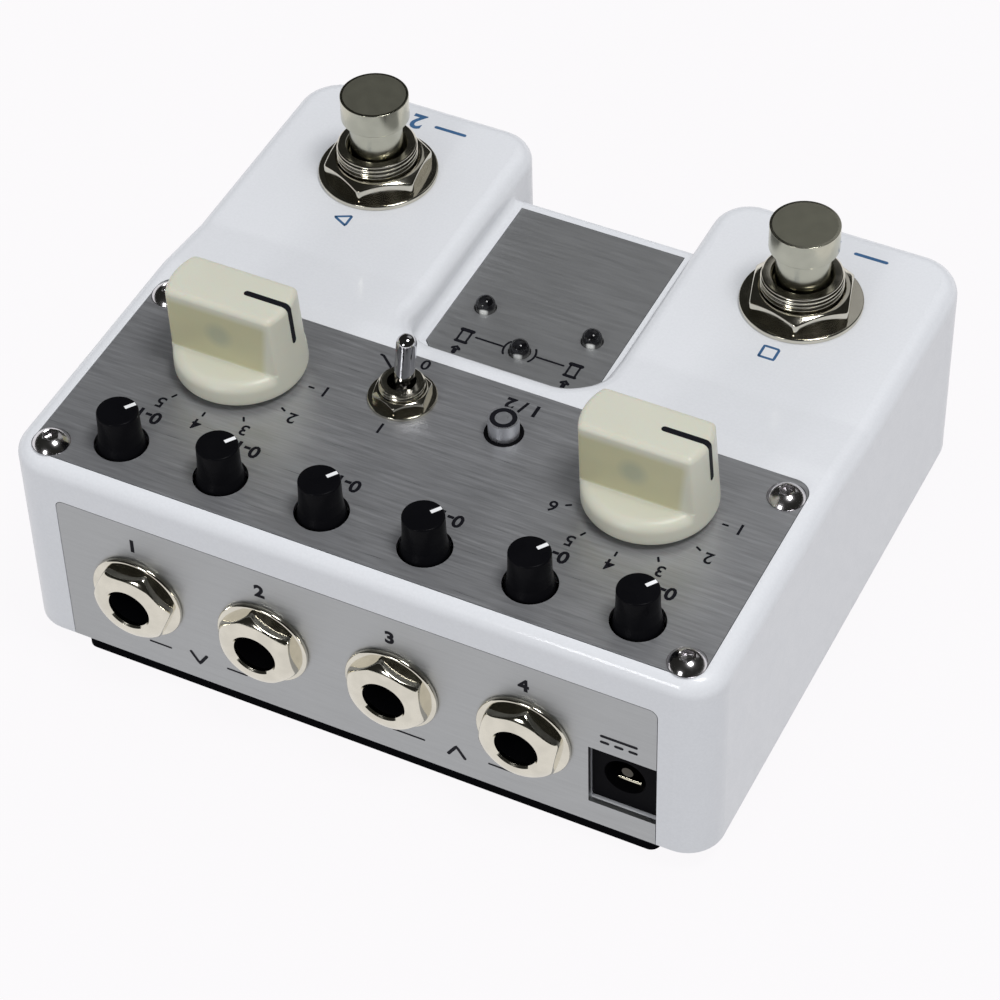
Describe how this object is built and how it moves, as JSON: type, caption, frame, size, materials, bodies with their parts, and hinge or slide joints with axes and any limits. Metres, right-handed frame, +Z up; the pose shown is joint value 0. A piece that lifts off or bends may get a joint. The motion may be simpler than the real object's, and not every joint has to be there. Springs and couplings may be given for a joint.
{
  "type": "twin footswitch delay pedal",
  "caption": "White metal effects pedal with two footswitches on raised lobes, a brushed control panel of small and large knobs, a toggle, a button, and phone jacks along the back.",
  "frame": {"origin": "on the floor under the centre of the pedal's bounding box, sole at z = 0", "axes": "+Z up, +X to the player's right, +Y towards the jack face; the player stands at -Y"},
  "size_m": [0.1084, 0.0976, 0.0529],
  "materials": {
    "white_paint": "smooth gloss white paint on a die casting",
    "panel_brushed": "brushed along X, dark nickel tone",
    "jack_brushed": "brushed along X",
    "light_plate_brushed": "brushed along X, darker",
    "base_steel": "satin black paint",
    "sole_rubber": "matte black",
    "nickel": "polished nickel plate, slightly warm",
    "bushing_nickel": "nickel-plated metal case and bushing",
    "switch_cap": "polished nickel plate, darker flat top",
    "lever_chrome": "bright chrome",
    "screw_steel": "zinc-plated steel",
    "cream_plastic": "glossy cream plastic",
    "knob_plastic": "satin black plastic",
    "shaft_metal": "turned metal",
    "button_metal": "satin silver-grey",
    "light_lens": "clear lens, dark inside",
    "black_moulding": "moulded black",
    "contact_brass": "plated contact metal",
    "board_green": "solder mask",
    "capacitor_sleeve": "dark blue sleeve",
    "lead_grey": "grey flat lead",
    "spring_steel": "spring steel"
  },
  "bodies": {
    "pedal": {"base_plate": "base_steel", "base_plate_screws": "screw_steel", "board_link": "black_moulding", "board_standoffs": "screw_steel", "casing": "white_paint", "control_board": "board_green", "control_plate": "panel_brushed", "control_plate_screws": "screw_steel", "dc_socket": "black_moulding", "dc_socket_contacts": "contact_brass", "footswitch_leads": "lead_grey", "footswitch_nuts": "nickel", "footswitch_washers": "nickel", "jack_contacts": "contact_brass", "jack_nuts": "nickel", "jack_plate": "jack_brushed", "jack_socket_1": "black_moulding", "jack_socket_2": "black_moulding", "jack_socket_3": "black_moulding", "jack_socket_4": "black_moulding", "jack_washers": "nickel", "led_plate": "light_plate_brushed", "left_footswitch_body": "bushing_nickel", "left_footswitch_spring": "spring_steel", "main_board": "board_green", "main_board_capacitors": "capacitor_sleeve", "main_board_chips": "black_moulding", "potentiometers": "black_moulding", "push_button_switch": "black_moulding", "right_footswitch_body": "bushing_nickel", "right_footswitch_spring": "spring_steel", "rubber_sole": "sole_rubber", "selector_nuts": "screw_steel", "selector_switches": "black_moulding", "status_leds": "light_lens", "toggle_nut": "nickel", "toggle_switch_body": "bushing_nickel", "toggle_washer": "nickel"},
    "left_footswitch": {"left_footswitch_plunger": "switch_cap"},
    "right_footswitch": {"right_footswitch_plunger": "switch_cap"},
    "toggle": {"toggle_lever": "lever_chrome"},
    "push_button": {"push_button_cap": "button_metal"},
    "left_selector": {"left_selector_knob": "cream_plastic", "left_selector_shaft": "shaft_metal"},
    "right_selector": {"right_selector_knob": "cream_plastic", "right_selector_shaft": "shaft_metal"},
    "small_control_1": {"small_knob_1": "knob_plastic"},
    "small_control_2": {"small_knob_2": "knob_plastic"},
    "small_control_3": {"small_knob_3": "knob_plastic"},
    "small_control_4": {"small_knob_4": "knob_plastic"},
    "small_control_5": {"small_knob_5": "knob_plastic"},
    "small_control_6": {"small_knob_6": "knob_plastic"}
  },
  "joints": [
    {"name": "left_footswitch_press", "type": "slide", "parent": "pedal", "child": "left_footswitch", "axis": [0, 0, -1], "range_m": [0, 0.0025], "stiffness_N_per_m": 1600, "springref_m": -0.002, "deforming": ["left_footswitch_spring"]},
    {"name": "right_footswitch_press", "type": "slide", "parent": "pedal", "child": "right_footswitch", "axis": [0, 0, -1], "range_m": [0, 0.0025], "stiffness_N_per_m": 1600, "springref_m": -0.002, "deforming": ["right_footswitch_spring"]},
    {"name": "toggle_throw", "type": "hinge", "parent": "pedal", "child": "toggle", "pos_m": [0.0081, 0.0127, 0.0386], "axis": [-1, 0, 0], "range_deg": [0, 26]},
    {"name": "push_button_press", "type": "slide", "parent": "pedal", "child": "push_button", "axis": [0, 0, -1], "range_m": [0, 0.0012], "stiffness_N_per_m": 1000, "springref_m": -0.0008},
    {"name": "small_control_1_turn", "type": "hinge", "parent": "pedal", "child": "small_control_1", "pos_m": [0.0396, 0.0373, 0.0384], "axis": [0, 0, -1], "range_deg": [0, 300]},
    {"name": "small_control_2_turn", "type": "hinge", "parent": "pedal", "child": "small_control_2", "pos_m": [0.02376, 0.0373, 0.0384], "axis": [0, 0, -1], "range_deg": [0, 300]},
    {"name": "small_control_3_turn", "type": "hinge", "parent": "pedal", "child": "small_control_3", "pos_m": [0.00792, 0.0373, 0.0384], "axis": [0, 0, -1], "range_deg": [0, 300]},
    {"name": "small_control_4_turn", "type": "hinge", "parent": "pedal", "child": "small_control_4", "pos_m": [-0.00792, 0.0373, 0.0384], "axis": [0, 0, -1], "range_deg": [0, 300]},
    {"name": "small_control_5_turn", "type": "hinge", "parent": "pedal", "child": "small_control_5", "pos_m": [-0.02376, 0.0373, 0.0384], "axis": [0, 0, -1], "range_deg": [0, 300]},
    {"name": "small_control_6_turn", "type": "hinge", "parent": "pedal", "child": "small_control_6", "pos_m": [-0.0396, 0.0373, 0.0384], "axis": [0, 0, -1], "range_deg": [0, 300]},
    {"name": "left_selector_turn", "type": "hinge", "parent": "pedal", "child": "left_selector", "pos_m": [-0.0319, 0.0164, 0.0384], "axis": [0, 0, -1], "range_deg": [0, 150]},
    {"name": "right_selector_turn", "type": "hinge", "parent": "pedal", "child": "right_selector", "pos_m": [0.0319, 0.0164, 0.0384], "axis": [0, 0, -1], "range_deg": [0, 120]}
  ]
}
